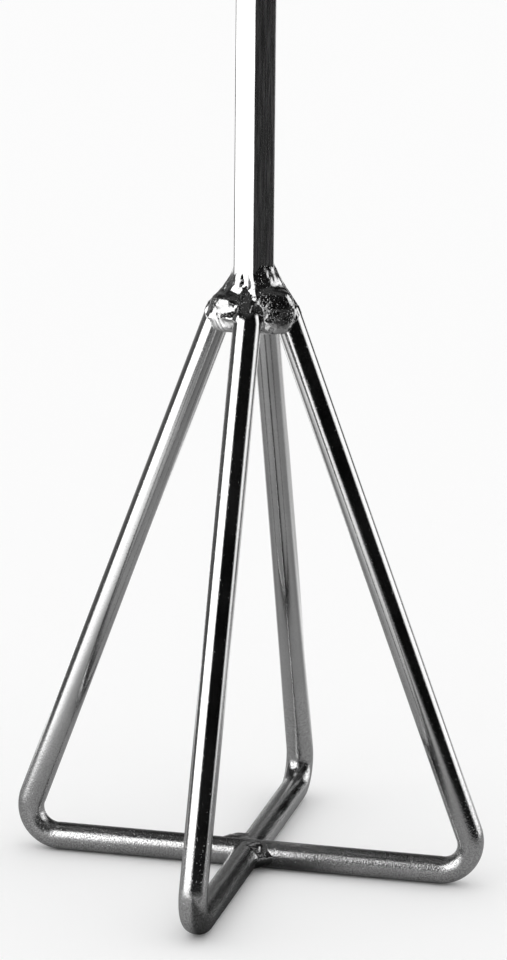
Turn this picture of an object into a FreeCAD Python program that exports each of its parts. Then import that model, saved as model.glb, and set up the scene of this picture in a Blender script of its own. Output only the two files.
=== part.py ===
"""Mortar mixing paddle: a hexagonal drive shaft welded to a cage of three bent round rods.

The paddle stands on its base cross, +Z up. The origin is on the floor below the shaft's axis.
One rod is bent into a whole loop in the X-Z plane: left leg, base bar and right leg. Two shorter
rods, bent into half loops in the Y-Z plane, butt against the middle of that base bar. The tops
of all four legs are welded to the lower end of the shaft.
"""
import FreeCAD, Part
import math
import os

import Sketcher

SHEET = "Dimensions"

# alias, value, what it is (millimetres and degrees)
DIMENSIONS = [
    ("overall_length", 711.2, "floor to the top of the shaft, 28 inches"),
    ("hex_flats", 11.1125, "across the flats of the hexagonal bar, 7/16 inch"),
    ("hex_turn", 43.0, "direction of one corner of the hexagon, from +X"),
    ("tip_chamfer", 1.5, "turned chamfer on the corners of the shaft's top end"),
    ("shaft_foot_height", 159.0, "lower end of the shaft above the floor"),
    ("rod_diameter", 7.9375, "round rod of the cage, 5/16 inch"),
    ("foot_radius", 68.8, "axis to the corner where a leg's and the base bar's centre lines meet"),
    ("leg_angle", 20.31, "lean of each leg from upright"),
    ("bend_radius", 8.5, "centre line of the bend between base bar and leg"),
    ("rod_end_height", 164.8, "middle of a leg's sawn end"),
    ("half_loop_lean", 0.24, "tilt of the two half loops about their base bars, towards +X"),
    ("butt_gap", 1.5, "axis to the sawn inner end of a half loop, which is coped to the base bar"),
    ("collar_bottom_radius", 8.8, "weld round the shaft, at its lower face"),
    ("collar_belly_radius", 11.2, "weld round the shaft, at its fullest"),
    ("collar_belly_rise", 4.4, "lower face of the weld to its fullest height"),
    ("collar_shoulder_radius", 10.4, "where the weld starts to taper to the shaft"),
    ("collar_shoulder_rise", 8.6, "lower face of the weld to that shoulder"),
    ("collar_tip_radius", 4.9, "end of the taper, inside the shaft"),
    ("collar_tip_rise", 20.2, "lower face of the weld to the end of the taper"),
    ("fillet_leg", 3.6, "leg of the fillet welds in the corners of the base cross"),
    ("fillet_half_height", 3.1, "fillet welds above and below the rods' axes"),
    ("fillet_taper", 15.0, "lean of the fillet welds' sides towards top and bottom"),
]

# each leg's name and its direction about the Z axis, in degrees from +X
LEGS = {"right": 0.0, "far": 90.0, "left": 180.0, "near": -90.0}

Z_AXIS = FreeCAD.Vector(0, 0, 1)
Y_AXIS = FreeCAD.Vector(0, 1, 0)


def make_sheet(doc):
    """The spreadsheet that holds every driving dimension under its alias."""
    sheet = doc.addObject("Spreadsheet::Sheet", SHEET)
    for row, (alias, value, meaning) in enumerate(DIMENSIONS, start=1):
        sheet.set(f"A{row}", str(value))
        sheet.setAlias(f"A{row}", alias)
        sheet.set(f"B{row}", meaning)
    doc.recompute()
    return sheet


def bind(item, path, expression):
    """Bind a property or constraint to the sheet; $name in the expression is a cell's alias."""
    item.setExpression(path, expression.replace("$", f"<<{SHEET}>>."))


def origin_plane(body, role):
    return next(plane for plane in body.Origin.OriginFeatures if plane.Role == role)


def add_sketch(body, name, role, offset_expression=None):
    """A sketch on one of the body's own origin planes, raised along its normal if asked."""
    sketch = body.newObject("Sketcher::SketchObject", name)
    sketch.AttachmentSupport = [(origin_plane(body, role), "")]
    sketch.MapMode = "FlatFace"
    if offset_expression:
        bind(sketch, "AttachmentOffset.Base.z", offset_expression)
    return sketch


def add_dimension(sketch, name, constraint, expression):
    """Add a named constraint to a sketch and bind its value to the sheet."""
    index = sketch.addConstraint(constraint)
    sketch.renameConstraint(index, name)
    bind(sketch, f"Constraints.{name}", expression)


def point(across, up):
    return FreeCAD.Vector(across, up, 0)


def close_with_lines(sketch, corners):
    """A closed outline of straight lines through the corners, joined end to end."""
    count = len(corners)
    for i, corner in enumerate(corners):
        sketch.addGeometry(Part.LineSegment(point(*corner), point(*corners[(i + 1) % count])))
    for i in range(count):
        sketch.addConstraint(Sketcher.Constraint("Coincident", i, 2, (i + 1) % count, 1))


def fix_point(sketch, geometry, vertex, name, across, up):
    """Bind a point's distances from the sketch's origin to two expressions."""
    for letter, expression in (("X", across), ("Y", up)):
        current = getattr(sketch.getPoint(geometry, vertex), letter.lower())
        constraint = Sketcher.Constraint(f"Distance{letter}", -1, 1, geometry, vertex, current)
        add_dimension(sketch, f"{name}_{letter.lower()}", constraint, expression)


def make_shaft(doc, sheet):
    """The hexagonal bar, with a turned chamfer on its top end."""
    body = doc.addObject("PartDesign::Body", "hex_shaft")
    outline = add_sketch(body, "hexagon", "XY_Plane", "$shaft_foot_height")
    corner_radius = sheet.hex_flats / math.sqrt(3)
    corners = [(corner_radius * math.cos(math.radians(60 * i)),
                corner_radius * math.sin(math.radians(60 * i))) for i in range(6)]
    close_with_lines(outline, corners)
    circle = outline.addGeometry(Part.Circle(point(0, 0), Z_AXIS, corner_radius), True)
    outline.addConstraint(Sketcher.Constraint("Coincident", circle, 3, -1, 1))
    for side in range(6):
        outline.addConstraint(Sketcher.Constraint("PointOnObject", side, 1, circle))
    for side in range(1, 6):
        outline.addConstraint(Sketcher.Constraint("Equal", 0, side))
    outline.addConstraint(Sketcher.Constraint("PointOnObject", 0, 1, -1))
    add_dimension(outline, "corner_radius", Sketcher.Constraint("Radius", circle, corner_radius),
                  "$hex_flats / sqrt(3)")

    bar = body.newObject("PartDesign::Pad", "bar")
    bar.Profile = outline
    bind(bar, "Length", "$overall_length - $shaft_foot_height")
    doc.recompute()
    full_volume = bar.Shape.Volume

    top = sheet.overall_length
    chamfer = sheet.tip_chamfer
    outside = corner_radius + chamfer
    cut = add_sketch(body, "chamfer_outline", "XZ_Plane")
    close_with_lines(cut, [(corner_radius - chamfer, top), (outside, top), (outside, top - 2 * chamfer)])
    fix_point(cut, 0, 1, "inner", "$hex_flats / sqrt(3) - $tip_chamfer", "$overall_length")
    fix_point(cut, 1, 1, "outer", "$hex_flats / sqrt(3) + $tip_chamfer", "$overall_length")
    fix_point(cut, 2, 1, "lower", "$hex_flats / sqrt(3) + $tip_chamfer",
              "$overall_length - 2 * $tip_chamfer")
    groove = body.newObject("PartDesign::Groove", "tip_turning")
    groove.Profile = cut
    groove.ReferenceAxis = (cut, ["V_Axis"])
    groove.Angle = 360
    body.Placement.Rotation = FreeCAD.Rotation(Z_AXIS, sheet.hex_turn)
    doc.recompute()
    if not groove.Shape.Volume < full_volume:
        raise RuntimeError("the chamfer cuts nothing from the shaft")
    return body


def make_bent_rod(doc, sheet, name, start_expression, start):
    """A rod in its own X-Z plane: along the floor from the start, round the bend and up the leg."""
    body = doc.addObject("PartDesign::Body", name)
    radius = sheet.rod_diameter / 2
    lean = math.radians(sheet.leg_angle)
    bend = sheet.bend_radius
    turn = math.pi / 2 + lean
    bend_start = sheet.foot_radius - bend * math.tan(turn / 2)
    leg_start = (bend_start + bend * math.sin(turn), radius + bend * (1 - math.cos(turn)))
    top = (sheet.foot_radius - (sheet.rod_end_height - radius) * math.tan(lean), sheet.rod_end_height)

    path = add_sketch(body, f"{name}_path", "XZ_Plane")
    path.addGeometry(Part.LineSegment(point(start, radius), point(bend_start, radius)))
    circle = Part.Circle(point(bend_start, radius + bend), Z_AXIS, bend)
    path.addGeometry(Part.ArcOfCircle(circle, -math.pi / 2, turn - math.pi / 2))
    path.addGeometry(Part.LineSegment(point(*leg_start), point(*top)))
    path.addConstraint(Sketcher.Constraint("Horizontal", 0))
    path.addConstraint(Sketcher.Constraint("Tangent", 0, 2, 1, 1))
    path.addConstraint(Sketcher.Constraint("Tangent", 1, 2, 2, 1))
    add_dimension(path, "bend", Sketcher.Constraint("Radius", 1, bend), "$bend_radius")
    add_dimension(path, "leg_slope", Sketcher.Constraint("Angle", 2, turn), "90deg + $leg_angle * 1deg")
    if start:
        fix_point(path, 0, 1, "start", start_expression, "$rod_diameter / 2")
    else:
        path.addConstraint(Sketcher.Constraint("PointOnObject", 0, 1, -2))
        add_dimension(path, "start_y", Sketcher.Constraint("DistanceY", -1, 1, 0, 1, radius),
                      "$rod_diameter / 2")
    fix_point(path, 2, 2, "top",
              "$foot_radius - ($rod_end_height - $rod_diameter / 2) * tan($leg_angle * 1deg)",
              "$rod_end_height")

    section = add_sketch(body, f"{name}_section", "YZ_Plane", start_expression if start else None)
    section.addGeometry(Part.Circle(point(0, radius), Z_AXIS, radius))
    section.addConstraint(Sketcher.Constraint("PointOnObject", 0, 3, -2))
    add_dimension(section, "axis_height", Sketcher.Constraint("DistanceY", -1, 1, 0, 3, radius),
                  "$rod_diameter / 2")
    add_dimension(section, "rod", Sketcher.Constraint("Radius", 0, radius), "$rod_diameter / 2")

    pipe = body.newObject("PartDesign::AdditivePipe", f"{name}_bar")
    pipe.Profile = section
    pipe.Spine = path
    doc.recompute()
    return body, pipe


def mirror_rod(doc, body, pipe):
    """Complete a rod bent from its middle with the same bend on its other side."""
    mirrored = body.newObject("PartDesign::Mirrored", "other_side")
    mirrored.Originals = [pipe]
    mirrored.MirrorPlane = (origin_plane(body, "YZ_Plane"), [""])
    body.Tip = mirrored
    doc.recompute()
    if not math.isclose(mirrored.Shape.Volume, 2 * pipe.Shape.Volume, rel_tol=1e-3):
        raise RuntimeError("the loop isn't twice its half")


def cut_away(doc, name, base, *tools):
    """The base fitted to each tool in turn; the last cut is the finished sub-part."""
    for number, tool in enumerate(tools, start=1):
        label = name if number == len(tools) else f"{name}_fit_{number}"
        cut = doc.addObject("Part::Cut", label)
        cut.Base = base
        cut.Tool = tool
        doc.recompute()
        base = cut
    return base


def make_collar_quarter(doc, sheet, name, direction):
    """A quarter of the weld round the shaft's lower end, centred on one leg's direction."""
    body = doc.addObject("PartDesign::Body", name)
    foot = sheet.shaft_foot_height
    belly = (sheet.collar_belly_radius, foot + sheet.collar_belly_rise)
    bottom = (sheet.collar_bottom_radius, foot)
    shoulder = (sheet.collar_shoulder_radius, foot + sheet.collar_shoulder_rise)
    tip = (sheet.collar_tip_radius, foot + sheet.collar_tip_rise)

    outline = add_sketch(body, f"{name}_outline", "XZ_Plane")
    corners = [point(0, foot), point(*bottom), point(*shoulder), point(*tip), point(0, tip[1])]
    outline.addGeometry(Part.LineSegment(corners[0], corners[1]))
    outline.addGeometry(Part.Arc(corners[1], point(*belly), corners[2]))
    for i in (2, 3, 4):
        outline.addGeometry(Part.LineSegment(corners[i], corners[(i + 1) % 5]))
    # the arc is drawn anticlockwise, so its start is the lower end of the belly
    for i in range(5):
        outline.addConstraint(Sketcher.Constraint("Coincident", i, 2, (i + 1) % 5, 1))
    outline.addConstraint(Sketcher.Constraint("Vertical", 4))
    outline.addConstraint(Sketcher.Constraint("Horizontal", 3))
    outline.addConstraint(Sketcher.Constraint("PointOnObject", 0, 1, -2))
    fix_point(outline, 1, 1, "bottom", "$collar_bottom_radius", "$shaft_foot_height")
    outline.addConstraint(Sketcher.Constraint("Horizontal", 0))
    fix_point(outline, 1, 2, "shoulder", "$collar_shoulder_radius",
              "$shaft_foot_height + $collar_shoulder_rise")
    fix_point(outline, 2, 2, "tip", "$collar_tip_radius", "$shaft_foot_height + $collar_tip_rise")
    arc_radius = outline.Geometry[1].Radius
    outline.addConstraint(Sketcher.Constraint("Radius", 1, arc_radius))

    turned = body.newObject("PartDesign::Revolution", f"{name}_quarter")
    turned.Profile = outline
    turned.ReferenceAxis = (outline, ["V_Axis"])
    turned.Angle = 90
    turned.Midplane = True
    body.Placement.Rotation = FreeCAD.Rotation(Z_AXIS, direction)
    doc.recompute()
    return body


def make_fillet_block(doc, sheet, name, direction):
    """The metal run into one corner of the base cross, before the rods are cut from it."""
    body = doc.addObject("PartDesign::Body", name)
    radius = sheet.rod_diameter / 2
    reach = radius + sheet.fillet_leg
    outline = add_sketch(body, f"{name}_outline", "XY_Plane", "$rod_diameter / 2")
    close_with_lines(outline, [(0, 0), (reach, 0), (reach, radius), (radius, reach), (0, reach)])
    outline.addConstraint(Sketcher.Constraint("Coincident", 0, 1, -1, 1))
    outline.addConstraint(Sketcher.Constraint("Horizontal", 0))
    outline.addConstraint(Sketcher.Constraint("Vertical", 1))
    fix_point(outline, 2, 1, "first_toe", "$rod_diameter / 2 + $fillet_leg", "$rod_diameter / 2")
    fix_point(outline, 3, 1, "second_toe", "$rod_diameter / 2", "$rod_diameter / 2 + $fillet_leg")
    outline.addConstraint(Sketcher.Constraint("Horizontal", 3))
    outline.addConstraint(Sketcher.Constraint("Vertical", 4))

    block = body.newObject("PartDesign::Pad", f"{name}_block")
    block.Profile = outline
    block.SideType = "Two sides"
    for suffix in ("", "2"):
        bind(block, f"Length{suffix}", "$fillet_half_height")
        bind(block, f"TaperAngle{suffix}", "-$fillet_taper * 1deg")
    body.Placement.Rotation = FreeCAD.Rotation(Z_AXIS, direction)
    doc.recompute()
    return body


def make_paddle(doc):
    """Build every sub-part; returns them as a list of document objects."""
    sheet = make_sheet(doc)
    shaft = make_shaft(doc, sheet)

    whole_rod, pipe = make_bent_rod(doc, sheet, "whole_rod", None, 0.0)
    mirror_rod(doc, whole_rod, pipe)
    through_loop = cut_away(doc, "through_loop", whole_rod, shaft)

    half_loops = {}
    pivot = FreeCAD.Vector(0, 0, sheet.rod_diameter / 2)
    lean = FreeCAD.Placement(FreeCAD.Vector(), FreeCAD.Rotation(Y_AXIS, sheet.half_loop_lean), pivot)
    for side in ("near", "far"):
        rod, pipe = make_bent_rod(doc, sheet, f"{side}_rod", "$butt_gap", sheet.butt_gap)
        turn = FreeCAD.Placement(FreeCAD.Vector(), FreeCAD.Rotation(Z_AXIS, LEGS[side]))
        rod.Placement = lean.multiply(turn)
        half_loops[side] = cut_away(doc, f"{side}_half_loop", rod, shaft, whole_rod)

    leg_welds = []
    for side, direction in LEGS.items():
        quarter = make_collar_quarter(doc, sheet, f"{side}_quarter", direction)
        leg = half_loops.get(side, through_loop)
        leg_welds.append(cut_away(doc, f"{side}_leg_weld", quarter, shaft, leg))

    cross_welds = []
    for side, direction in (("near", -90.0), ("far", 90.0)):
        block = make_fillet_block(doc, sheet, f"{side}_fillet", direction)
        cross_welds.append(cut_away(doc, f"{side}_cross_weld", block, whole_rod, half_loops[side]))

    return [shaft, through_loop, *half_loops.values(), *leg_welds, *cross_welds]


def check(doc, pieces):
    """Stop before anything is written if a feature failed or a sub-part isn't one good solid."""
    for item in doc.Objects:
        if "Invalid" in item.State or "Error" in item.State:
            raise RuntimeError(f"{item.Label} failed: {item.State}")
    for piece in pieces:
        shape = piece.Shape
        if shape.isNull() or not shape.isValid() or len(shape.Solids) != 1:
            raise RuntimeError(f"{piece.Label} isn't one valid solid: {len(shape.Solids)}")


def main():
    doc = FreeCAD.newDocument("mortar_mixing_paddle")
    pieces = make_paddle(doc)
    check(doc, pieces)
    os.makedirs("parts", exist_ok=True)
    for piece in pieces:
        piece.Shape.exportStep(f"parts/{piece.Label}.step")
        box = piece.Shape.BoundBox
        print(f"{piece.Label:20s} {piece.Shape.Volume:10.1f} mm3  z {box.ZMin:7.2f} to {box.ZMax:7.2f}")


main()
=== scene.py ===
"""The looks of a mortar mixing paddle: bright plated rods, lumpy welds and a drawn hexagonal shaft."""

import math

import bpy
import numpy as np
from mathutils import Matrix, Vector, noise


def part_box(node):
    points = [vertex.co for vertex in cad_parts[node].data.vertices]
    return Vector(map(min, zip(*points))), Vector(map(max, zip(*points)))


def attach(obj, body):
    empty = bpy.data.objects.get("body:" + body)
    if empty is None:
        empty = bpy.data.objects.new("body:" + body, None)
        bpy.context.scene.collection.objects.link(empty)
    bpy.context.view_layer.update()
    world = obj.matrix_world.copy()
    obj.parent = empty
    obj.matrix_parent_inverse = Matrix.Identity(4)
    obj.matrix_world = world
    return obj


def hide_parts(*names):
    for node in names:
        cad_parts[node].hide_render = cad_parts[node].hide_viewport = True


MM = 0.001

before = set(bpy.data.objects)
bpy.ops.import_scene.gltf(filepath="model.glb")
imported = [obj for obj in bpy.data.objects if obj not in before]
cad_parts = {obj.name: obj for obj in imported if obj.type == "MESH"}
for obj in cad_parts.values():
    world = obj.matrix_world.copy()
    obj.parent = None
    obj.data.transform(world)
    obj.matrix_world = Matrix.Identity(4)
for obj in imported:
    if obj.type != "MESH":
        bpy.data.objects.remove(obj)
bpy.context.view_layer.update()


# ---------------------------------------------------------------- sizes, all in millimetres

def extent(node):
    """A CAD node's lowest and highest corners."""
    low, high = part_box(node)
    return np.array(low) / MM, np.array(high) / MM


LOOP_LOW, LOOP_HIGH = extent("through_loop")
SHAFT_LOW, SHAFT_HIGH = extent("hex_shaft")
ROD = (LOOP_HIGH[1] - LOOP_LOW[1]) / 2          # radius of the round rod
SHAFT_FOOT = SHAFT_LOW[2]                       # heights of the shaft's two ends
SHAFT_TOP = SHAFT_HIGH[2]
HEX_HALF_FLATS = 11.1125 / 2
HEX_HALF_CORNERS = HEX_HALF_FLATS / math.cos(math.pi / 6)
HEX_CORNER = math.radians(43.0)                 # direction of one corner of the hexagon
LEG_LEAN = math.radians(20.31)
BEND = 8.5                                      # centre line radius of the bends
BEND_TURN = math.pi / 2 + LEG_LEAN
LEG_RUN = math.tan(LEG_LEAN)                    # how far a leg comes in for each millimetre up
BEND_REACH = BEND * math.tan(BEND_TURN / 2)     # from a bend's ends to where its straights would meet
FOOT = LOOP_HIGH[0] - ROD - BEND + BEND_REACH   # radius at which leg and base bar would meet
ROD_END = 164.8                                 # height of the middle of a leg's sawn end
HALF_LOOP_LEAN = math.radians(0.24)
BUTT_GAP = 1.5                                  # from the axis to a half loop's inner end

LEGS = {"right": 0.0, "far": math.pi / 2, "left": math.pi, "near": -math.pi / 2}


def leg_radius(height):
    """Distance of a leg's centre line from the axis at a height."""
    return FOOT - (height - ROD) * LEG_RUN


def leg_point(side, height):
    """A point on a leg's centre line; the half loops lean a little towards +X."""
    angle = LEGS[side]
    radius = leg_radius(height)
    shift = (height - ROD) * math.tan(HALF_LOOP_LEAN) if side in ("near", "far") else 0.0
    return np.array([radius * math.cos(angle) + shift, radius * math.sin(angle), height])


# ---------------------------------------------------------------- meshes

def make_object(name, points, faces, uvs=None):
    """A smooth-shaded mesh object from points in millimetres."""
    mesh = bpy.data.meshes.new(name)
    mesh.from_pydata([tuple(p) for p in np.asarray(points) * MM], [], [tuple(f) for f in faces])
    if uvs is not None:
        layer = mesh.uv_layers.new(name="UVMap")
        layer.data.foreach_set("uv", np.asarray(uvs, np.float32).ravel())
    mesh.polygons.foreach_set("use_smooth", np.ones(len(mesh.polygons), bool))
    mesh.update()
    item = bpy.data.objects.new(name, mesh)
    bpy.context.scene.collection.objects.link(item)
    return item


def keep_crisp(item, angle):
    """Keep edges sharper than an angle in degrees crisp."""
    item.data.set_sharp_from_angle(angle=math.radians(angle))


# ---------------------------------------------------------------- rods

HAIR = 0.02                  # keeps surfaces that would coincide apart
RING = 72                    # points round a rod
BAR_RINGS = 24               # rings along a base bar, round a bend and up a leg
BEND_RINGS = 33
LEG_RINGS = 60
BUTT_RINGS = 8               # rings that follow the shape of a half loop's inner end
OUTSIDE_FLATTENING = 0.12    # how much a bend loses on its outside and inside and gains at its sides
INSIDE_FLATTENING = 0.06
SIDE_SWELLING = 0.015


def rod_path(start):
    """Stations (radius, height, turn so far) from the base bar's inner end up the leg."""
    bend_start = FOOT - BEND_REACH
    stations = [(radius, ROD, 0.0) for radius in np.linspace(start, bend_start, BAR_RINGS)]
    for turn in np.linspace(0, BEND_TURN, BEND_RINGS)[1:]:
        stations.append((bend_start + BEND * math.sin(turn), ROD + BEND * (1 - math.cos(turn)), turn))
    leg_start = stations[-1][1]
    for height in np.linspace(leg_start, ROD_END, LEG_RINGS)[1:]:
        stations.append((leg_radius(height), height, BEND_TURN))
    return stations


def bend_share(turn):
    """0 on the straights, 1 at the middle of the bend."""
    return math.sin(math.pi * turn / BEND_TURN) ** 0.7 if 0 < turn < BEND_TURN else 0.0


def rod_ring(radius, height, turn):
    """The points round the rod at a station and its direction there, as (radius, sideways, height)."""
    share = bend_share(turn)
    along = np.array([math.cos(turn), 0.0, math.sin(turn)])
    outward = np.array([math.sin(turn), 0.0, -math.cos(turn)])
    angles = np.linspace(0, 2 * math.pi, RING, endpoint=False)
    out = np.cos(angles)
    in_plane = ROD * (1 - share * np.where(out > 0, OUTSIDE_FLATTENING * out ** 2, INSIDE_FLATTENING))
    sideways = ROD * (1 + SIDE_SWELLING * share)
    centre = np.array([radius, 0.0, height])
    points = centre + np.outer(in_plane * out, outward)
    points[:, 1] += sideways * np.sin(angles)
    return points, along


def place(points, side):
    """Turn points from a rod's own axes to its direction, with the half loops' lean."""
    angle = LEGS[side]
    placed = points.copy()
    placed[:, 0] = points[:, 0] * math.cos(angle) - points[:, 1] * math.sin(angle)
    placed[:, 1] = points[:, 0] * math.sin(angle) + points[:, 1] * math.cos(angle)
    if side in ("near", "far"):
        placed[:, 0] += (placed[:, 2] - ROD) * math.tan(HALF_LOOP_LEAN)
    return placed


def rod_object(name, rings):
    """A rod swept through a list of rings, with u round it and v along it, both in metres."""
    rings = np.array(rings)
    count = len(rings)
    points = rings.reshape(-1, 3)
    length = np.concatenate([[0], np.cumsum(np.linalg.norm(np.diff(rings.mean(1), axis=0), axis=1))])
    faces = []
    uvs = []
    around = 2 * math.pi * ROD * MM
    for i in range(count - 1):
        for j in range(RING):
            k = (j + 1) % RING
            faces.append((i * RING + j, i * RING + k, (i + 1) * RING + k, (i + 1) * RING + j))
            left, right = j / RING * around, (j + 1) / RING * around
            low, high = length[i] * MM, length[i + 1] * MM
            uvs += [(left, low), (right, low), (right, high), (left, high)]
    for ring, flip in ((0, True), (count - 1, False)):
        loop = [ring * RING + j for j in range(RING)]
        faces.append(tuple(reversed(loop)) if flip else tuple(loop))
        uvs += [(0.0, length[ring] * MM)] * RING
    item = make_object(name, points, faces, uvs)
    keep_crisp(item, 40.0)
    return item


END_ROUNDING = [(0.2, 0.25), (0.6, 0.45), (1.2, 0.55)]      # how far in and how far on each ring goes


def rounded_end(last, along):
    """Rings that round off the sawn edge at the top of a leg, after its last ring."""
    centre = last.mean(0)
    rings = []
    for inset, rise in END_ROUNDING:
        shrink = 1 - inset / ROD
        rings.append(centre + (last - centre) * shrink + along * rise)
    return rings


def flat_normal(flat):
    """The outward direction of one of the shaft's flats; flats are numbered round the shaft."""
    angle = HEX_CORNER + math.pi / 6 + flat * math.pi / 3
    return np.array([math.cos(angle), math.sin(angle), 0.0])


DEEPEST_CUT = 3.0            # how far a rod's end reaches into the shaft at most


def clear_of_shaft(points):
    """Push points that lie inside the hexagon out to its nearest flat."""
    fitted = points.copy()
    for flat in range(6):
        depth = HEX_HALF_FLATS - fitted @ flat_normal(flat)
        after = HEX_HALF_FLATS - fitted @ flat_normal(flat + 1)
        before = HEX_HALF_FLATS - fitted @ flat_normal(flat - 1)
        inside = (depth > 0) & (depth < DEEPEST_CUT) & (after >= depth) & (before >= depth)
        inside &= fitted[:, 2] > SHAFT_FOOT
        fitted[inside] += np.outer(depth[inside], flat_normal(flat))
    return fitted


def branch(start, side):
    """The rings of a base bar and its leg, from the crossing to the leg's sawn end."""
    rings = []
    for station in rod_path(start):
        points, along = rod_ring(*station)
        rings.append(points)
    rings += rounded_end(rings[-1], along)
    return [clear_of_shaft(place(ring, side)) for ring in rings]


def make_through_loop():
    """The whole loop: left leg, base bar and right leg."""
    right = branch(0.0, "right")
    left = branch(0.0, "left")
    # the left branch runs the other way round, so its rings are matched to the right's
    flipped = [np.roll(ring[::-1], 1, axis=0) for ring in left]
    return rod_object("through_loop_rod", flipped[:0:-1] + right)


def make_half_loop(side):
    """The near or the far loop, whose inner end is hollowed to fit the whole loop's base bar."""
    rings = branch(BUTT_GAP, side)
    sign = 1 if side == "far" else -1
    first = rings[0]
    reach = np.sqrt(np.maximum(ROD ** 2 - (first[:, 2] - ROD) ** 2, BUTT_GAP ** 2))
    first[:, 1] = sign * reach
    for ring in rings[1:BUTT_RINGS]:
        ring[:, 1] = sign * np.maximum(np.abs(ring[:, 1]), reach + HAIR)
    return rod_object(f"{side}_half_loop_rod", rings)


# ---------------------------------------------------------------- shaft

HEX_ROUND = 0.75             # radius of the drawn bar's corners
TIP_CHAMFER = 1.5
CORNER_POINTS = 9
SHAFT_RINGS = 40             # rings along the shaft and in its chamfer
CHAMFER_RINGS = 13
LOWEST_SPAN = 6              # from the shaft's foot, hidden in the weld, to its second ring


def shaft_outline():
    """The bar's rounded hexagon, anticlockwise."""
    outline = []
    inner = (HEX_HALF_FLATS - HEX_ROUND) / math.cos(math.pi / 6)
    for i in range(6):
        corner = HEX_CORNER + i * math.pi / 3
        centre = inner * np.array([math.cos(corner), math.sin(corner)])
        for turn in np.linspace(-math.pi / 6, math.pi / 6, CORNER_POINTS):
            outline.append(centre + HEX_ROUND * np.array([math.cos(corner + turn), math.sin(corner + turn)]))
    return np.array(outline)


def shaft_heights():
    """Heights of the shaft's rings, close together in the chamfer."""
    chamfer_start = SHAFT_TOP - TIP_CHAMFER
    below = np.linspace(SHAFT_FOOT + LOWEST_SPAN, chamfer_start - 0.5, SHAFT_RINGS)
    return [SHAFT_FOOT + 0.01, *below, *np.linspace(chamfer_start, SHAFT_TOP, CHAMFER_RINGS)]


def make_shaft():
    """The drive shaft, with the turned chamfer at its top."""
    outline = shaft_outline()
    reach = np.hypot(*outline.T)
    heights = shaft_heights()
    count = len(outline)
    points = []
    for height in heights:
        limit = HEX_HALF_CORNERS - max(0.0, height - (SHAFT_TOP - TIP_CHAMFER))
        ring = outline * np.minimum(1, limit / reach)[:, None]
        points += [(x, y, height) for x, y in ring]
    steps = np.linalg.norm(outline - np.roll(outline, 1, axis=0), axis=1)
    around = np.concatenate([[0], np.cumsum(np.roll(steps, -1))]) * MM
    faces = []
    uvs = []
    for i in range(len(heights) - 1):
        for j in range(count):
            k = (j + 1) % count
            faces.append((i * count + j, i * count + k, (i + 1) * count + k, (i + 1) * count + j))
            low, high = heights[i] * MM, heights[i + 1] * MM
            uvs += [(around[j], low), (around[j + 1], low), (around[j + 1], high), (around[j], high)]
    last = (len(heights) - 1) * count
    faces.append(tuple(range(count - 1, -1, -1)))
    faces.append(tuple(last + j for j in range(count)))
    uvs += [(0.0, heights[0] * MM)] * count + [(0.0, heights[-1] * MM)] * count
    item = make_object("drive_shaft", points, faces, uvs)
    keep_crisp(item, 25.0)
    return item


# ---------------------------------------------------------------- distances and their surfaces

def smooth_min(a, b, width):
    """The union of two solids, blended where their distances differ by less than the width."""
    share = np.clip(0.5 + 0.5 * (b - a) / width, 0, 1)
    return b * (1 - share) + a * share - width * share * (1 - share)


def smooth_max(a, b, width):
    """The blended common part of two solids."""
    return -smooth_min(-a, -b, width)


def ball(points, centre, radius):
    """Distance to a ball."""
    return np.linalg.norm(points - np.array(centre), axis=1) - radius


def bar(points, start, end, radius):
    """Distance to a flat-ended round bar."""
    start, end = np.array(start), np.array(end)
    axis = (end - start) / np.linalg.norm(end - start)
    along = (points - start) @ axis
    off = np.linalg.norm(points - start - np.outer(along, axis), axis=1) - radius
    return np.maximum(off, np.maximum(-along, along - np.linalg.norm(end - start)))


def hexagon(points):
    """Distance to the shaft."""
    distance = SHAFT_FOOT - points[:, 2]
    for flat in range(6):
        distance = np.maximum(distance, points @ flat_normal(flat) - HEX_HALF_FLATS)
    return distance


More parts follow.
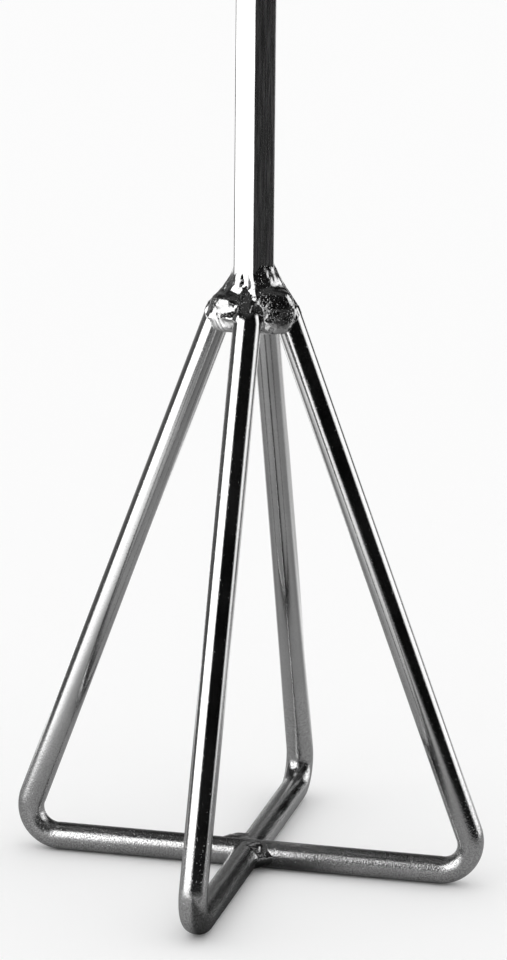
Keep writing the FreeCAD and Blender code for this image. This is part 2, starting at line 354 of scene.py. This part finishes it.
def surface_net(field, low, high, step):
    """Points and quads of the surface where the field is zero, found on a grid."""
    low = np.array(low, float)
    axes = [np.arange(low[i], high[i] + step, step) for i in range(3)]
    grid = np.stack(np.meshgrid(*axes, indexing="ij"), -1)
    values = field(grid.reshape(-1, 3)).reshape(grid.shape[:3])
    inside = values < 0
    cells = tuple(n - 1 for n in values.shape)
    total = np.zeros(cells + (3,))
    count = np.zeros(cells)
    crossings = []
    for axis in range(3):
        first = [slice(None)] * 3
        second = [slice(None)] * 3
        first[axis] = slice(None, -1)
        second[axis] = slice(1, None)
        a, b = values[tuple(first)], values[tuple(second)]
        crossing = inside[tuple(first)] != inside[tuple(second)]
        share = np.where(crossing, a / np.where(crossing, a - b, 1), 0)
        others = [i for i in range(3) if i != axis]
        for d0 in (0, 1):
            for d1 in (0, 1):
                window = [slice(None)] * 3
                window[others[0]] = slice(d0, cells[others[0]] + d0)
                window[others[1]] = slice(d1, cells[others[1]] + d1)
                here = crossing[tuple(window)]
                total[..., axis] += share[tuple(window)]
                total[..., others[0]] += d0 * here
                total[..., others[1]] += d1 * here
                count += here
        crossings.append((axis, others, crossing, inside[tuple(first)]))
    active = count > 0
    index = np.full(cells, -1)
    index[active] = np.arange(active.sum())
    points = low + (np.argwhere(active) + total[active] / count[active][:, None]) * step
    quads = []
    for axis, others, crossing, starts_inside in crossings:
        where = np.argwhere(crossing)
        keep = (where[:, others[0]] > 0) & (where[:, others[1]] > 0)
        keep &= (where[:, others[0]] < cells[others[0]]) & (where[:, others[1]] < cells[others[1]])
        where = where[keep]
        corners = []
        for d0, d1 in ((1, 1), (0, 1), (0, 0), (1, 0)):
            cell = where.copy()
            cell[:, others[0]] -= d0
            cell[:, others[1]] -= d1
            corners.append(index[tuple(cell.T)])
        faces = np.stack(corners, 1)
        flip = starts_inside[tuple(where.T)]
        if axis == 1:
            flip = ~flip
        faces[~flip] = faces[~flip][:, ::-1]
        quads.append(faces)
    return points, np.concatenate(quads)


def settle(field, points, rounds=3, step=0.02):
    """Move points along the field's slope onto its zero surface; returns them with the slopes."""
    for _ in range(rounds):
        value = field(points)
        slope = np.stack([(field(points + offset) - value) / step for offset in np.eye(3) * step], 1)
        size = np.maximum((slope ** 2).sum(1), 0.05)
        points = points - slope * np.clip(value / size, -0.3, 0.3)[:, None]
    return points, slope / np.linalg.norm(slope, axis=1)[:, None]


def lumps(points, size, seed):
    """Smooth noise between about -1 and 1 with lumps of the given size."""
    shift = Vector((seed * 17.3, seed * 5.1, seed * 9.7))
    return np.array([noise.noise(Vector(p) / size + shift) for p in points])


def layered(points, layers):
    """Lumps of several sizes on one another: each layer's depth, size and seed."""
    return sum(depth * lumps(points, size, seed) for depth, size, seed in layers)


FADE_DEPTH = 0.8             # how deep weld metal is where its lumps reach their full height


def fade_to_parents(points, parents, own):
    """1 where the weld stands clear of the pieces it joins, 0 where it runs out on them."""
    return np.clip((parents(points) - own(points)) / FADE_DEPTH, 0, 1)


def at(direction, ring, height):
    """A point given by its direction in degrees, its distance from the axis and its height."""
    angle = math.radians(direction)
    return np.array([ring * math.cos(angle), ring * math.sin(angle), height])


def turned(points, direction):
    """Points in axes that look in a direction: sideways, outward and up."""
    angle = math.radians(direction)
    outward = points[:, 0] * math.cos(angle) + points[:, 1] * math.sin(angle)
    sideways = points[:, 1] * math.cos(angle) - points[:, 0] * math.sin(angle)
    return np.stack([sideways, outward, points[:, 2]], 1)


BEAD_FULLNESS = 3.2          # 2 would make a bead an ellipsoid, more makes it squarer in profile
TINY = 1e-6


def bead(points, direction, ring, height, facing, wide, deep, tall):
    """Distance to a full-bodied egg of weld metal whose broad side looks in the facing direction."""
    full = BEAD_FULLNESS
    side, out, up = turned(points - at(direction, ring, height), facing).T
    level = np.maximum(np.hypot(side / wide, out / deep), TINY)
    upright = np.abs(up / tall)
    near = np.maximum((level ** full + upright ** full) ** (1 / full), TINY)
    # dividing by the slope turns the egg's own measure into a distance
    level_slope = (level / near) ** (full - 1) * np.hypot(side / wide ** 2, out / deep ** 2) / level
    upright_slope = (upright / near) ** (full - 1) / tall
    return (near - 1) / np.maximum(np.hypot(level_slope, upright_slope), 1e-3)


# ---------------------------------------------------------------- the welds round the shaft's foot

COLLAR_TOP = 178.6           # the highest weld metal
COLLAR_RUN_OUT = 0.4         # how far below its parents' surfaces the weld metal starts


def collar_parents(points):
    """Distance to the shaft and the legs' ends, which the weld metal runs into."""
    nearest = hexagon(points)
    for side in LEGS:
        nearest = np.minimum(nearest, bar(points, leg_point(side, 150.0), leg_point(side, ROD_END), ROD))
    return nearest + COLLAR_RUN_OUT


GUSSET_ROUNDING = 2.0        # blends of a gusset's face with its sides and its foot
FOOT_ROUNDING = 1.5
GUSSET_START = 3.0           # a gusset starts this far from the axis, inside the shaft


def gusset(points, direction, ring, height, slope, half_width, low):
    """Distance to a block of weld against the shaft; its sloping face passes a given ring and height."""
    side, out, up = turned(points, direction).T
    tilt = math.radians(slope)
    face = (out - ring) * math.cos(tilt) + (up - height) * math.sin(tilt)
    block = smooth_max(face, np.abs(side) - half_width, GUSSET_ROUNDING)
    block = smooth_max(block, low - up, FOOT_ROUNDING)
    inside_shaft = GUSSET_START - out
    return np.maximum(block, np.maximum(inside_shaft, up - COLLAR_TOP))


# gussets: direction, a ring and a height on the sloping face, its slope, half width and lowest height
GUSSETS = [
    (0, 10.9, 168.6, 35, 2.8, 162.0),
    (-25, 10.3, 168.6, 30, 3.4, 167.5),
    (-52, 9.2, 168.6, 25, 3.5, 168.0),
    (-90, 10.2, 168.0, 46, 2.2, 163.5),
    (-112, 9.2, 167.0, 48, 2.6, 163.5),
    (180, 12.3, 166.8, 43, 2.9, 162.0),
    (-152, 10.6, 167.2, 41, 2.4, 162.5),
    (178, 7.4, 172.0, 24, 2.6, 164.0),
    (-132, 6.75, 172.0, 13, 2.1, 166.0),
    (90, 10.6, 168.6, 35, 4.0, 162.0),
    (45, 8.8, 168.6, 28, 4.2, 164.0),
    (135, 9.0, 168.4, 31, 4.0, 164.0),
]

# beads between the legs: direction, distance from the axis, height, the direction they face,
# then half width, half depth and half height
BEADS = [
    (-37, 8.1, 165.3, -81, 6.3, 3.8, 6.4),
    (-137, 8.9, 164.5, -116, 5.2, 3.0, 5.4),
    (45, 6.8, 163.6, 45, 5.0, 4.2, 4.5),
    (135, 6.6, 163.4, 135, 4.8, 4.2, 4.3),
]

CORE_RADIUS = 7.4            # the drum of weld metal in the middle: radius, middle height, half height
CORE_MIDDLE = 163.5
CORE_HALF_HEIGHT = 4.0
POCKET_RADIUS = 4.6          # the hollow under the shaft that the welds leave open
COLLAR_MIDDLE = (0, 0, 166.0)
COLLAR_REACH = 13.8          # no weld metal lies further than this from the collar's middle
LIMIT_BETWEEN_LEGS = 1.6     # how far it may stand out past the legs, and how much less at a leg
LIMIT_AT_LEGS = 2.05
GUSSET_BLEND = 1.4           # how softly each form runs into the rest
BEAD_BLEND = 1.2
TRIM_BLEND = 0.8
PARENT_BLEND = 1.0


def beyond_the_legs(points):
    """Distance past the cone that limits the weld metal: at the legs' outsides, and wider between them."""
    radius = np.hypot(points[:, 0], points[:, 1])
    near_a_leg = (0.5 + 0.5 * np.cos(4 * np.arctan2(points[:, 1], points[:, 0]))) ** 3
    outside = (radius - leg_radius(points[:, 2])) * math.cos(LEG_LEAN) - ROD
    return outside - LIMIT_BETWEEN_LEGS + LIMIT_AT_LEGS * near_a_leg


def collar_field(points):
    """Distance to the weld round the shaft's lower end."""
    radius = np.hypot(points[:, 0], points[:, 1])
    height = points[:, 2]
    body = np.maximum(radius - CORE_RADIUS, np.abs(height - CORE_MIDDLE) - CORE_HALF_HEIGHT)
    for values in GUSSETS:
        body = smooth_min(body, gusset(points, *values), GUSSET_BLEND)
    for values in BEADS:
        body = smooth_min(body, bead(points, *values), BEAD_BLEND)
    body = smooth_max(body, beyond_the_legs(points), TRIM_BLEND)
    body = smooth_max(body, SHAFT_FOOT - 0.1 - height, TRIM_BLEND)
    blended = smooth_min(body, collar_parents(points), PARENT_BLEND)
    pocket = np.maximum(radius - POCKET_RADIUS, height - SHAFT_FOOT - 0.3)
    blended = np.maximum(blended, -pocket)
    return np.maximum(blended, ball(points, COLLAR_MIDDLE, COLLAR_REACH))


# ripples: direction, height and reach of the patch, the length of a wave and how much it slants
RIPPLES = [
    (-135, 161.5, 4.2, 1.35, 0.5),       # the bead between the left and the near leg
    (-18, 162.5, 4.0, 1.2, -0.3),        # the bead along the right leg
]


def ripples(points):
    """The waves that a welder's weaving leaves on two of the beads, between -1 and 1."""
    total = np.zeros(len(points))
    for direction, height, reach, wave, slant in RIPPLES:
        offset = points - at(direction, 10.0, height)
        sideways = turned(offset, direction)[:, 0]
        phase = (sideways + slant * offset[:, 2]) * 2 * math.pi / wave
        share = np.clip(1 - np.linalg.norm(offset, axis=1) / reach, 0, 1)
        total += np.sin(phase) * share
    return total


COLLAR_BOX = ((-15, -15, 152), (15, 15, 182))
COLLAR_STEP = 0.26           # the grid's step
COLLAR_LUMPS = [(0.11, 2.4, 1), (0.07, 1.0, 2), (0.035, 0.5, 3)]
RIPPLE_DEPTH = 0.10


def make_collar():
    """The four leg welds, which run into one another, as one sculpted piece."""
    points, quads = surface_net(collar_field, *COLLAR_BOX, COLLAR_STEP)
    points, slope = settle(collar_field, points)
    rough = layered(points, COLLAR_LUMPS) + RIPPLE_DEPTH * ripples(points)
    rough *= fade_to_parents(points, collar_parents, collar_field)
    points = points + slope * rough[:, None]
    return make_object("leg_welds", points, quads)


# ---------------------------------------------------------------- the welds at the crossing

CROSS_RUN_OUT = 0.12         # how far below the bars' surfaces the weld metal starts
CROSS_REACH = 9.6            # no weld metal lies further than this from the middle of the crossing
BAR_BLEND = 0.9              # the blend of the bars, and how much wider it is in a welded corner
FILLET_BLEND = 6.0
CROSS_BEAD_BLEND = 1.8


def base_bars(points):
    """Distances to the two crossing base bars."""
    along_x = bar(points, (-20, 0, ROD), (20, 0, ROD), ROD)
    along_y = bar(points, (0, -20, ROD), (0, 20, ROD), ROD)
    return along_x, along_y


def cross_parents(points):
    """Distance to the nearer base bar, which the weld metal runs into."""
    return np.minimum(*base_bars(points)) + CROSS_RUN_OUT


# lumps at the crossing, given like the beads above
CROSS_BEADS = [
    (-62, 4.2, ROD + 2.0, -62, 1.9, 1.5, 1.6),
    (141, 6.0, ROD + 1.6, 135, 3.8, 2.4, 2.4),
]


def cross_field(points):
    """Distance to the crossing bars with metal run into the near right and the far left corner."""
    x, y = points[:, 0], points[:, 1]
    radius = np.maximum(np.hypot(x, y), TINY)
    # 1 in the two corners that are welded, 0 in the other two
    welded = np.clip(-2 * x * y / radius ** 2, 0, 1) * np.clip((radius - 1.0) / 3.0, 0, 1)
    welded *= np.clip(1.25 - np.abs(points[:, 2] - ROD) / ROD, 0.15, 1)
    joined = smooth_min(*base_bars(points), BAR_BLEND + FILLET_BLEND * welded)
    for values in CROSS_BEADS:
        joined = smooth_min(joined, bead(points, *values), CROSS_BEAD_BLEND)
    return np.maximum(joined + CROSS_RUN_OUT, ball(points, (0, 0, ROD), CROSS_REACH))


# the two ends of the crack where the near half loop's end shows through the weld
CRACK = (np.array([-3.2, -1.4]), np.array([3.2, -2.7]))
CRACK_HALF_WIDTH = 0.3
CRACK_DEPTH = 0.45
CRACK_WANDER = 0.3           # how far noise moves its edges


def crack_depth(points):
    """How deep the ragged crack is at each point."""
    start, end = CRACK
    line = end - start
    share = (points[:, :2] - start) @ line / (line @ line)
    off = np.abs((points[:, :2] - start) @ np.array([-line[1], line[0]])) / np.linalg.norm(line)
    off = off + CRACK_WANDER * lumps(points, 0.9, 8)
    run_out = np.clip(3 * share, 0, 1) * np.clip(2.2 * (1 - share), 0, 1)
    inside = np.clip(1 - off / CRACK_HALF_WIDTH, 0, 1) * run_out
    return CRACK_DEPTH * inside * (points[:, 2] > ROD)


CROSS_BOX = ((-11, -11, -1), (11, 11, 9.4))
CROSS_STEP = 0.22
CROSS_LUMPS = [(0.10, 1.8, 5), (0.07, 0.8, 6)]


def make_cross_welds():
    """The two fillet welds at the crossing, as one sculpted piece."""
    points, quads = surface_net(cross_field, *CROSS_BOX, CROSS_STEP)
    points, slope = settle(cross_field, points)
    rough = layered(points, CROSS_LUMPS) - crack_depth(points)
    rough *= fade_to_parents(points, cross_parents, cross_field)
    points = points + slope * rough[:, None]
    points[:, 2] = np.maximum(points[:, 2], HAIR)
    return make_object("cross_welds", points, quads)


# ---------------------------------------------------------------- materials

def new_material(name):
    """A material with its node tree and its shader."""
    material = bpy.data.materials.new(name)
    material.use_nodes = True
    return material, material.node_tree, material.node_tree.nodes["Principled BSDF"]


def new_metal(name):
    """The same for a metal, with the place on the object as a fourth result."""
    material, tree, shader = new_material(name)
    shader.inputs["Metallic"].default_value = 1.0
    return material, tree, shader, tree.nodes.new("ShaderNodeTexCoord").outputs["Object"]


def add(tree, kind, **inputs):
    """A node with the given inputs: numbers are set, sockets are linked."""
    node = tree.nodes.new(kind)
    for key, value in inputs.items():
        socket = node.inputs[key.replace("_", " ")]
        if isinstance(value, bpy.types.NodeSocket):
            tree.links.new(value, socket)
        else:
            socket.default_value = value
    return node


def math_node(tree, operation, a, b=0.0):
    """The result of an operation on numbers or sockets."""
    node = tree.nodes.new("ShaderNodeMath")
    node.operation = operation
    for socket, value in zip(node.inputs, (a, b)):
        if isinstance(value, bpy.types.NodeSocket):
            tree.links.new(value, socket)
        else:
            socket.default_value = value
    return node.outputs[0]


def product(tree, a, b):
    """The product of two numbers or sockets."""
    return math_node(tree, "MULTIPLY", a, b)


def total_of(tree, a, b):
    """The sum of two numbers or sockets."""
    return math_node(tree, "ADD", a, b)


def difference(tree, a, b):
    """The first of two numbers or sockets less the second."""
    return math_node(tree, "SUBTRACT", a, b)


def ramp(tree, value, low, high, out_low, out_high):
    """A soft step from out_low, where the value is low or less, to out_high."""
    node = add(tree, "ShaderNodeMapRange", Value=value)
    for key, number in (("From Min", low), ("From Max", high), ("To Min", out_low), ("To Max", out_high)):
        node.inputs[key].default_value = number
    node.interpolation_type = "SMOOTHSTEP"
    return node.outputs["Result"]


def noise_at(tree, vector, scale, detail=3.0, roughness=0.55):
    """Noise between 0 and 1; the scale is in lumps per metre."""
    node = add(tree, "ShaderNodeTexNoise", Vector=vector, Scale=scale, Detail=detail, Roughness=roughness)
    return node.outputs["Fac"]


def grey(tree, value):
    """Turn a number into a grey colour."""
    node = tree.nodes.new("ShaderNodeCombineColor")
    for socket in node.inputs[:3]:
        tree.links.new(value, socket)
    return node.outputs[0]


def roughen(tree, shader, relief, strength, depth):
    """Give a shader's surface a fine relief, with its depth in metres."""
    bump = add(tree, "ShaderNodeBump", Height=relief, Strength=strength, Distance=depth)
    tree.links.new(bump.outputs[0], shader.inputs["Normal"])


def plated_rod():
    """Bright plating: mirror-like on the legs, scuffed and grainy low down where it meets the floor."""
    material, tree, shader, where = new_metal("plated_rod")
    height = add(tree, "ShaderNodeSeparateXYZ", Vector=where).outputs[2]
    blotch = noise_at(tree, where, 60.0)
    grain = noise_at(tree, where, 2300.0, 2.0, 0.65)
    low_down = ramp(tree, height, 0.004, 0.045, 1.0, 0.22)
    worn = product(tree, low_down, ramp(tree, blotch, 0.3, 0.65, 0.6, 1.0))
    dark_grain = product(tree, ramp(tree, grain, 0.40, 0.56, 0.42, -0.12), worn)
    clean = ramp(tree, blotch, 0.3, 0.7, 0.60, 0.68)
    shade = product(tree, clean, difference(tree, 1.0, dark_grain))
    tree.links.new(grey(tree, shade), shader.inputs["Base Color"])
    rough = total_of(tree, product(tree, worn, 0.15), ramp(tree, blotch, 0.35, 0.65, 0.05, 0.09))
    tree.links.new(rough, shader.inputs["Roughness"])
    specks = ramp(tree, noise_at(tree, where, 1700.0, 1.0, 0.5), 0.66, 0.74, 0.0, 0.8)
    roughen(tree, shader, product(tree, total_of(tree, grain, specks), worn), 0.75, 0.0001)
    return material


def drawn_shaft():
    """Drawn bar with a fine grain along its length."""
    material, tree, shader, where = new_metal("drawn_shaft")
    stretch = add(tree, "ShaderNodeMapping", Vector=where)
    stretch.inputs["Scale"].default_value = (1.0, 1.0, 0.04)
    grain = noise_at(tree, stretch.outputs[0], 1800.0, 3.0, 0.6)
    tree.links.new(grey(tree, ramp(tree, grain, 0.3, 0.7, 0.55, 0.68)), shader.inputs["Base Color"])
    tree.links.new(ramp(tree, grain, 0.3, 0.7, 0.2, 0.32), shader.inputs["Roughness"])
    roughen(tree, shader, grain, 0.3, 0.00005)
    return material


def weld_metal():
    """Bright metal with pits and fine spatter, with painted shade that darkens it close to the floor."""
    material, tree, shader, where = new_metal("weld_metal")
    pits = noise_at(tree, where, 1500.0, 2.0, 0.6)
    spatter = ramp(tree, noise_at(tree, where, 2100.0, 1.0, 0.5), 0.60, 0.70, 0.0, 1.0)
    stain = noise_at(tree, where, 420.0, 3.0, 0.6)
    height = add(tree, "ShaderNodeSeparateXYZ", Vector=where).outputs[2]
    # painted shade: the weld metal is made darker close to the floor
    painted_low_shade = ramp(tree, height, 0.0022, 0.0048, 0.3, 1.0)
    shade = product(tree, ramp(tree, stain, 0.35, 0.65, 0.48, 0.68), painted_low_shade)
    tree.links.new(grey(tree, shade), shader.inputs["Base Color"])
    tree.links.new(ramp(tree, stain, 0.3, 0.7, 0.18, 0.07), shader.inputs["Roughness"])
    roughen(tree, shader, total_of(tree, product(tree, pits, 0.5), spatter), 0.5, 0.00008)
    return material


def floor_finish():
    """Matt, nearly white."""
    material, _, shader = new_material("pale_floor")
    shader.inputs["Base Color"].default_value = (0.97, 0.97, 0.97, 1)
    shader.inputs["Roughness"].default_value = 0.9
    shader.inputs["Specular IOR Level"].default_value = 0.0
    return material


# ---------------------------------------------------------------- studio

# what the metal sees of the studio, in degrees: the azimuths where a patch starts, is full, starts to
# fade and ends, its elevations in the same way, how far it sinks for each degree of azimuth, brightness
STUDIO = [
    ((-170, -150, -114, -98), (-26, -17, 6, 14), -0.24, 1.9),      # table lit by the left panel
    ((-3, 17, 42, 56), (-11, -1, 25, 45), 0, 1.6),                 # right panel
    ((48, 72, 118, 144), (-45, -35, -9, 1), 0, 1.0),               # back of the table
    ((76, 98, 145, 175), (-14, -3, -2, 50), 0, 0.20),              # wall behind
    ((150, 175, 179, 180), (-14, -3, -2, 50), 0, 0.10),            # the same wall further left, in two
    ((-180, -179, -160, -145), (-14, -3, -2, 50), 0, 0.10),        # patches because azimuths end at 180
    ((-181, -180.5, 180.5, 181), (42, 68, 91, 92), 0, 0.05),       # ceiling
    ((-100, -80, 10, 25), (-60, -50, -18, -8), 0, 0.05),           # floor in front
]
DARKNESS = 0.002             # what the metal sees between the patches


def angles_of(tree, x, y, z):
    """Azimuth from +X and elevation of a direction, in degrees."""
    azimuth = product(tree, math_node(tree, "ARCTAN2", y, x), 180 / math.pi)
    elevation = product(tree, math_node(tree, "ARCSINE", z), 180 / math.pi)
    return azimuth, elevation


def window(tree, value, rise_start, rise_end, fall_start, fall_end):
    """A soft window: 0 outside, 1 between rise_end and fall_start."""
    rise = ramp(tree, value, rise_start, rise_end, 0, 1)
    fall = ramp(tree, value, fall_start, fall_end, 1, 0)
    return product(tree, rise, fall)


def make_world():
    """Even white light for the floor; for reflections, a room with soft bright and dark areas."""
    world = bpy.data.worlds.new("studio")
    bpy.context.scene.world = world
    world.use_nodes = True
    tree = world.node_tree
    background = tree.nodes["Background"]
    ray = tree.nodes.new("ShaderNodeLightPath")
    direction = tree.nodes.new("ShaderNodeTexCoord").outputs["Generated"]
    split = add(tree, "ShaderNodeSeparateXYZ", Vector=direction)
    azimuth, elevation = angles_of(tree, *split.outputs[:3])
    seen = DARKNESS
    for azimuths, elevations, tilt, level in STUDIO:
        middle = (azimuths[1] + azimuths[2]) / 2
        sunk = product(tree, difference(tree, azimuth, middle), tilt)
        upright = window(tree, difference(tree, elevation, sunk), *elevations)
        shape = product(tree, window(tree, azimuth, *azimuths), upright)
        seen = total_of(tree, product(tree, shape, level), seen)
    plain = difference(tree, 1.0, ray.outputs["Is Glossy Ray"])
    glossy = product(tree, seen, ray.outputs["Is Glossy Ray"])
    background.inputs["Color"].default_value = (1, 1, 1, 1)
    tree.links.new(total_of(tree, plain, glossy), background.inputs["Strength"])


PANEL_RIGHT = (-62.0, -430.0)      # where the left panel's vertical edges stand
PANEL_LEFT = (-590.0, -130.0)
PANEL_BOTTOM = 40.0
PANEL_TOP = 530.0
PANEL_BRIGHTNESS = 2.4


def panel_finish():
    """Light that fades out towards the panel's edges; the panel's UVs run from 0 to 1."""
    material, tree, shader = new_material("panel_light")
    tree.nodes.remove(shader)
    uv = add(tree, "ShaderNodeSeparateXYZ", Vector=tree.nodes.new("ShaderNodeTexCoord").outputs["UV"])
    shape = product(tree, window(tree, uv.outputs[0], 0.0, 0.16, 0.84, 1.0),
                    window(tree, uv.outputs[1], 0.0, 0.14, 0.82, 1.0))
    light = add(tree, "ShaderNodeEmission", Strength=PANEL_BRIGHTNESS)
    clear = tree.nodes.new("ShaderNodeBsdfTransparent")
    mixed = tree.nodes.new("ShaderNodeMixShader")
    for value, socket in zip((shape, clear.outputs[0], light.outputs[0]), mixed.inputs):
        tree.links.new(value, socket)
    tree.links.new(mixed.outputs[0], tree.nodes["Material Output"].inputs["Surface"])
    return material


def make_left_panel():
    """A soft box at the front left, close enough that each rod sees it from its own place."""
    (x0, y0), (x1, y1) = PANEL_LEFT, PANEL_RIGHT
    corners = [(x0, y0, PANEL_BOTTOM), (x1, y1, PANEL_BOTTOM), (x1, y1, PANEL_TOP), (x0, y0, PANEL_TOP)]
    panel = make_object("left_panel", corners, [(0, 1, 2, 3)], [(0, 0), (1, 0), (1, 1), (0, 1)])
    panel.data.materials.append(panel_finish())
    for ray in ("camera", "diffuse", "shadow", "transmission"):
        setattr(panel, f"visible_{ray}", False)


TABLE_GREY = 0.27            # the table's shade round the paddle
TABLE_RADIUS = 500.0
TABLE_POINTS = 96


def table_finish():
    """The table as the metal sees it, with its light and shade painted on: grey near the paddle, painted
    light at the back, by the panel and under the paddle, painted shade towards the front and beside the near
    bar.
    """
    material, tree, shader = new_material("table_in_reflections")
    tree.nodes.remove(shader)
    where = add(tree, "ShaderNodeSeparateXYZ", Vector=tree.nodes.new("ShaderNodeTexCoord").outputs["Object"])
    x, y = where.outputs[0], where.outputs[1]
    # distances in metres from the middle: towards the panel, towards the front, and to the far right
    to_panel = total_of(tree, product(tree, x, -0.5), product(tree, y, -0.866))
    to_front = product(tree, difference(tree, x, y), 0.7071)
    to_far_right = total_of(tree, y, product(tree, x, 0.9))
    # painted light at the back of the table, fading towards the far right
    behind = product(tree, ramp(tree, y, 0.08, 0.20, 0, 1.1),
                     ramp(tree, to_far_right, 0.20, 0.38, 1.0, 0.35))
    # painted light by the panel, then painted shade towards the front
    lit = total_of(tree, behind, ramp(tree, to_panel, 0.03, 0.42, 0, 1.3))
    level = product(tree, total_of(tree, lit, TABLE_GREY), ramp(tree, to_front, 0.12, 0.36, 1.0, 0.08))
    # painted light under the paddle, and a painted shadow along the right side of the near bar
    squares = total_of(tree, math_node(tree, "POWER", x, 2.0), math_node(tree, "POWER", y, 2.0))
    from_axis = math_node(tree, "SQRT", squares)
    level = total_of(tree, level, ramp(tree, from_axis, 0.075, 0.14, 0.07, 0.0))
    # painted shadow: the table is darkened along the right side of the near bar
    painted_shadow_by_near_bar = product(tree, window(tree, x, -0.003, 0.001, 0.012, 0.036),
                              ramp(tree, y, -0.004, 0.0, 0.8, 0.0))
    level = product(tree, level, difference(tree, 1.0, painted_shadow_by_near_bar))
    diffuse = add(tree, "ShaderNodeBsdfDiffuse", Color=grey(tree, level))
    tree.links.new(diffuse.outputs[0], tree.nodes["Material Output"].inputs["Surface"])
    return material


def make_table():
    """A round patch of the table that only shows in the metal, a hair above the floor."""
    turns = np.linspace(0, 2 * math.pi, TABLE_POINTS, endpoint=False)
    rim = [(TABLE_RADIUS * math.cos(turn), TABLE_RADIUS * math.sin(turn), HAIR) for turn in turns]
    table = make_object("table", rim, [tuple(range(TABLE_POINTS))])
    table.data.materials.append(table_finish())
    table.visible_camera = False
    table.visible_diffuse = False
    table.visible_shadow = False


# the photograph's view: azimuth from -Y towards +X, elevation and roll, then metres and the lens in mm
CAMERA_AZIMUTH = math.radians(13.4507)
CAMERA_ELEVATION = math.radians(15.3084)
CAMERA_ROLL = math.radians(0.5276)
CAMERA_DISTANCE = 1.33308
CAMERA_AIM = np.array([0.00046, 0.00011, 0.11516])
CAMERA_LENS = 177.4


def make_camera():
    """The camera, turned so that its own axes are right, up and back."""
    flat = math.cos(CAMERA_ELEVATION)
    back = np.array([math.sin(CAMERA_AZIMUTH) * flat, -math.cos(CAMERA_AZIMUTH) * flat,
                     math.sin(CAMERA_ELEVATION)])
    level = np.cross(-back, (0, 0, 1))
    level /= np.linalg.norm(level)
    upright = np.cross(level, -back)
    right = math.cos(CAMERA_ROLL) * level + math.sin(CAMERA_ROLL) * upright
    up = math.cos(CAMERA_ROLL) * upright - math.sin(CAMERA_ROLL) * level
    data = bpy.data.cameras.new("camera")
    data.lens = CAMERA_LENS
    data.sensor_width = 36.0
    camera = bpy.data.objects.new("camera", data)
    bpy.context.scene.collection.objects.link(camera)
    turn = Matrix((right, up, back)).transposed()
    camera.matrix_world = Matrix.Translation(Vector(CAMERA_AIM + back * CAMERA_DISTANCE)) @ turn.to_4x4()
    bpy.context.scene.camera = camera


FLOOR_HALF = 20000.0


def make_floor():
    """A plain floor that reaches to the horizon; the metal sees the table and the world instead."""
    corners = [(x * FLOOR_HALF, y * FLOOR_HALF, 0) for x, y in ((-1, -1), (1, -1), (1, 1), (-1, 1))]
    floor = make_object("floor", corners, [(0, 1, 2, 3)])
    floor.data.materials.append(floor_finish())
    floor.visible_glossy = False


# ---------------------------------------------------------------- the paddle

def dress(piece, material, slot, *nodes):
    """Give a piece its material, and let it stand in for CAD nodes on the one body."""
    piece.data.materials.append(material)
    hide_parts(*nodes)
    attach(piece, "root")


def main():
    bpy.context.scene.view_settings.view_transform = "Standard"
    rod_finish = plated_rod()
    dress(make_through_loop(), rod_finish, "rod_steel", "through_loop")
    for side in ("near", "far"):
        dress(make_half_loop(side), rod_finish, "rod_steel", f"{side}_half_loop")
    weld_finish = weld_metal()
    dress(make_collar(), weld_finish, "weld_metal", *(f"{side}_leg_weld" for side in LEGS))
    dress(make_cross_welds(), weld_finish, "weld_metal", "near_cross_weld", "far_cross_weld")
    dress(make_shaft(), drawn_shaft(), "shaft_steel", "hex_shaft")
    make_floor()
    make_table()
    make_left_panel()
    make_world()
    make_camera()


main()
